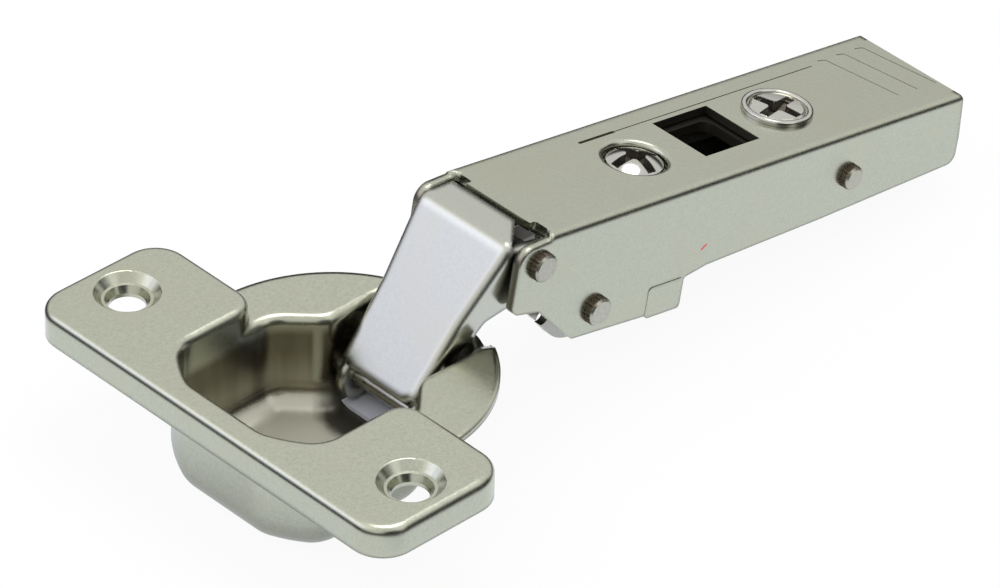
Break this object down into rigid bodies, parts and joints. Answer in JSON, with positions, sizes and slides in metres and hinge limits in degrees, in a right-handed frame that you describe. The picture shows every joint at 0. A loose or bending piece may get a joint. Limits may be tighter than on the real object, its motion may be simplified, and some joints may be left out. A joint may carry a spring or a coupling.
{
  "type": "concealed cup hinge",
  "caption": "Concealed door hinge: a pressed cup with a screw-on flange, folding links and a channel arm with adjusting screws.",
  "frame": {"origin": "on the cup's axis, in the plane of the door's face that the flange lies on", "axes": "+X from the cup towards the arm, +Y along the line of the two flange screws, +Z out of the door's face"},
  "size_m": [0.107, 0.0558, 0.0228],
  "materials": {
    "satin_nickel": "satin nickel plating on pressed steel",
    "bright_nickel": "bright nickel plating on pressed steel",
    "pin_steel": "plated steel, turned ends",
    "spring_steel": "drawn spring wire",
    "inner_steel": "zinc-plated pressed steel",
    "bright_screw": "bright plated steel",
    "grey_plastic": "pale grey plastic"
  },
  "bodies": {
    "cup": {"hinge_cup": "satin_nickel", "cup_shackle_pin": "pin_steel", "cup_buffer_pad": "grey_plastic"},
    "outer": {"outer_link": "bright_nickel"},
    "inner": {"inner_link": "satin_nickel"},
    "arm": {"hinge_arm": "satin_nickel", "outer_link_rivet": "pin_steel", "inner_link_rivet": "pin_steel", "catch_pin": "pin_steel", "closing_spring": "spring_steel", "catch_spring": "spring_steel"},
    "carrier": {"adjust_carrier": "inner_steel"},
    "side_screw": {"side_adjust_screw": "bright_screw"},
    "depth_cam": {"depth_adjust_cam": "bright_screw"},
    "catch": {"catch_lever": "inner_steel"}
  },
  "joints": [
    {"name": "fold", "type": "hinge", "parent": "cup", "child": "outer", "pos_m": [0.0084, 0, -0.0068], "axis": [0, -1, 0], "range_deg": [0, 95]},
    {"name": "arm_turn", "type": "hinge", "parent": "outer", "child": "arm", "pos_m": [0.0225, 0, 0.00825], "axis": [0, -1, 0], "range_deg": [0, 5.01], "deforming": ["closing_spring"]},
    {"name": "inner_turn", "type": "hinge", "parent": "cup", "child": "inner", "pos_m": [0.0116, 0, -0.0028], "axis": [0, -1, 0], "range_deg": [0, 118.6]},
    {"name": "depth_travel", "type": "slide", "parent": "arm", "child": "carrier", "axis": [0.9847, 0, -0.174], "range_m": [-0.0015, 0.0015]},
    {"name": "depth_cam_turn", "type": "hinge", "parent": "arm", "child": "depth_cam", "pos_m": [0.06672, 0, 0.00379], "axis": [0.174, 0, 0.9847], "range_deg": [-136, 136]},
    {"name": "side_screw_turn", "type": "hinge", "parent": "arm", "child": "side_screw", "pos_m": [0.04466, 0, 0.00769], "axis": [0.174, 0, 0.9847], "range_deg": [-180, 180]},
    {"name": "catch_swing", "type": "hinge", "parent": "arm", "child": "catch", "pos_m": [0.07003, 0, -0.0023], "axis": [0, -1, 0], "range_deg": [0, 10], "stiffness_Nm_per_rad": 0.02, "springref_deg": -17.19, "deforming": ["catch_spring"]}
  ],
  "couplings": [
    {"joint": "arm_turn", "follows": "fold", "ratio": 0.052632},
    {"joint": "inner_turn", "follows": "fold", "ratio": 1.2474},
    {"joint": "depth_cam_turn", "follows": "depth_travel", "rad_per_m": 1570.8}
  ]
}
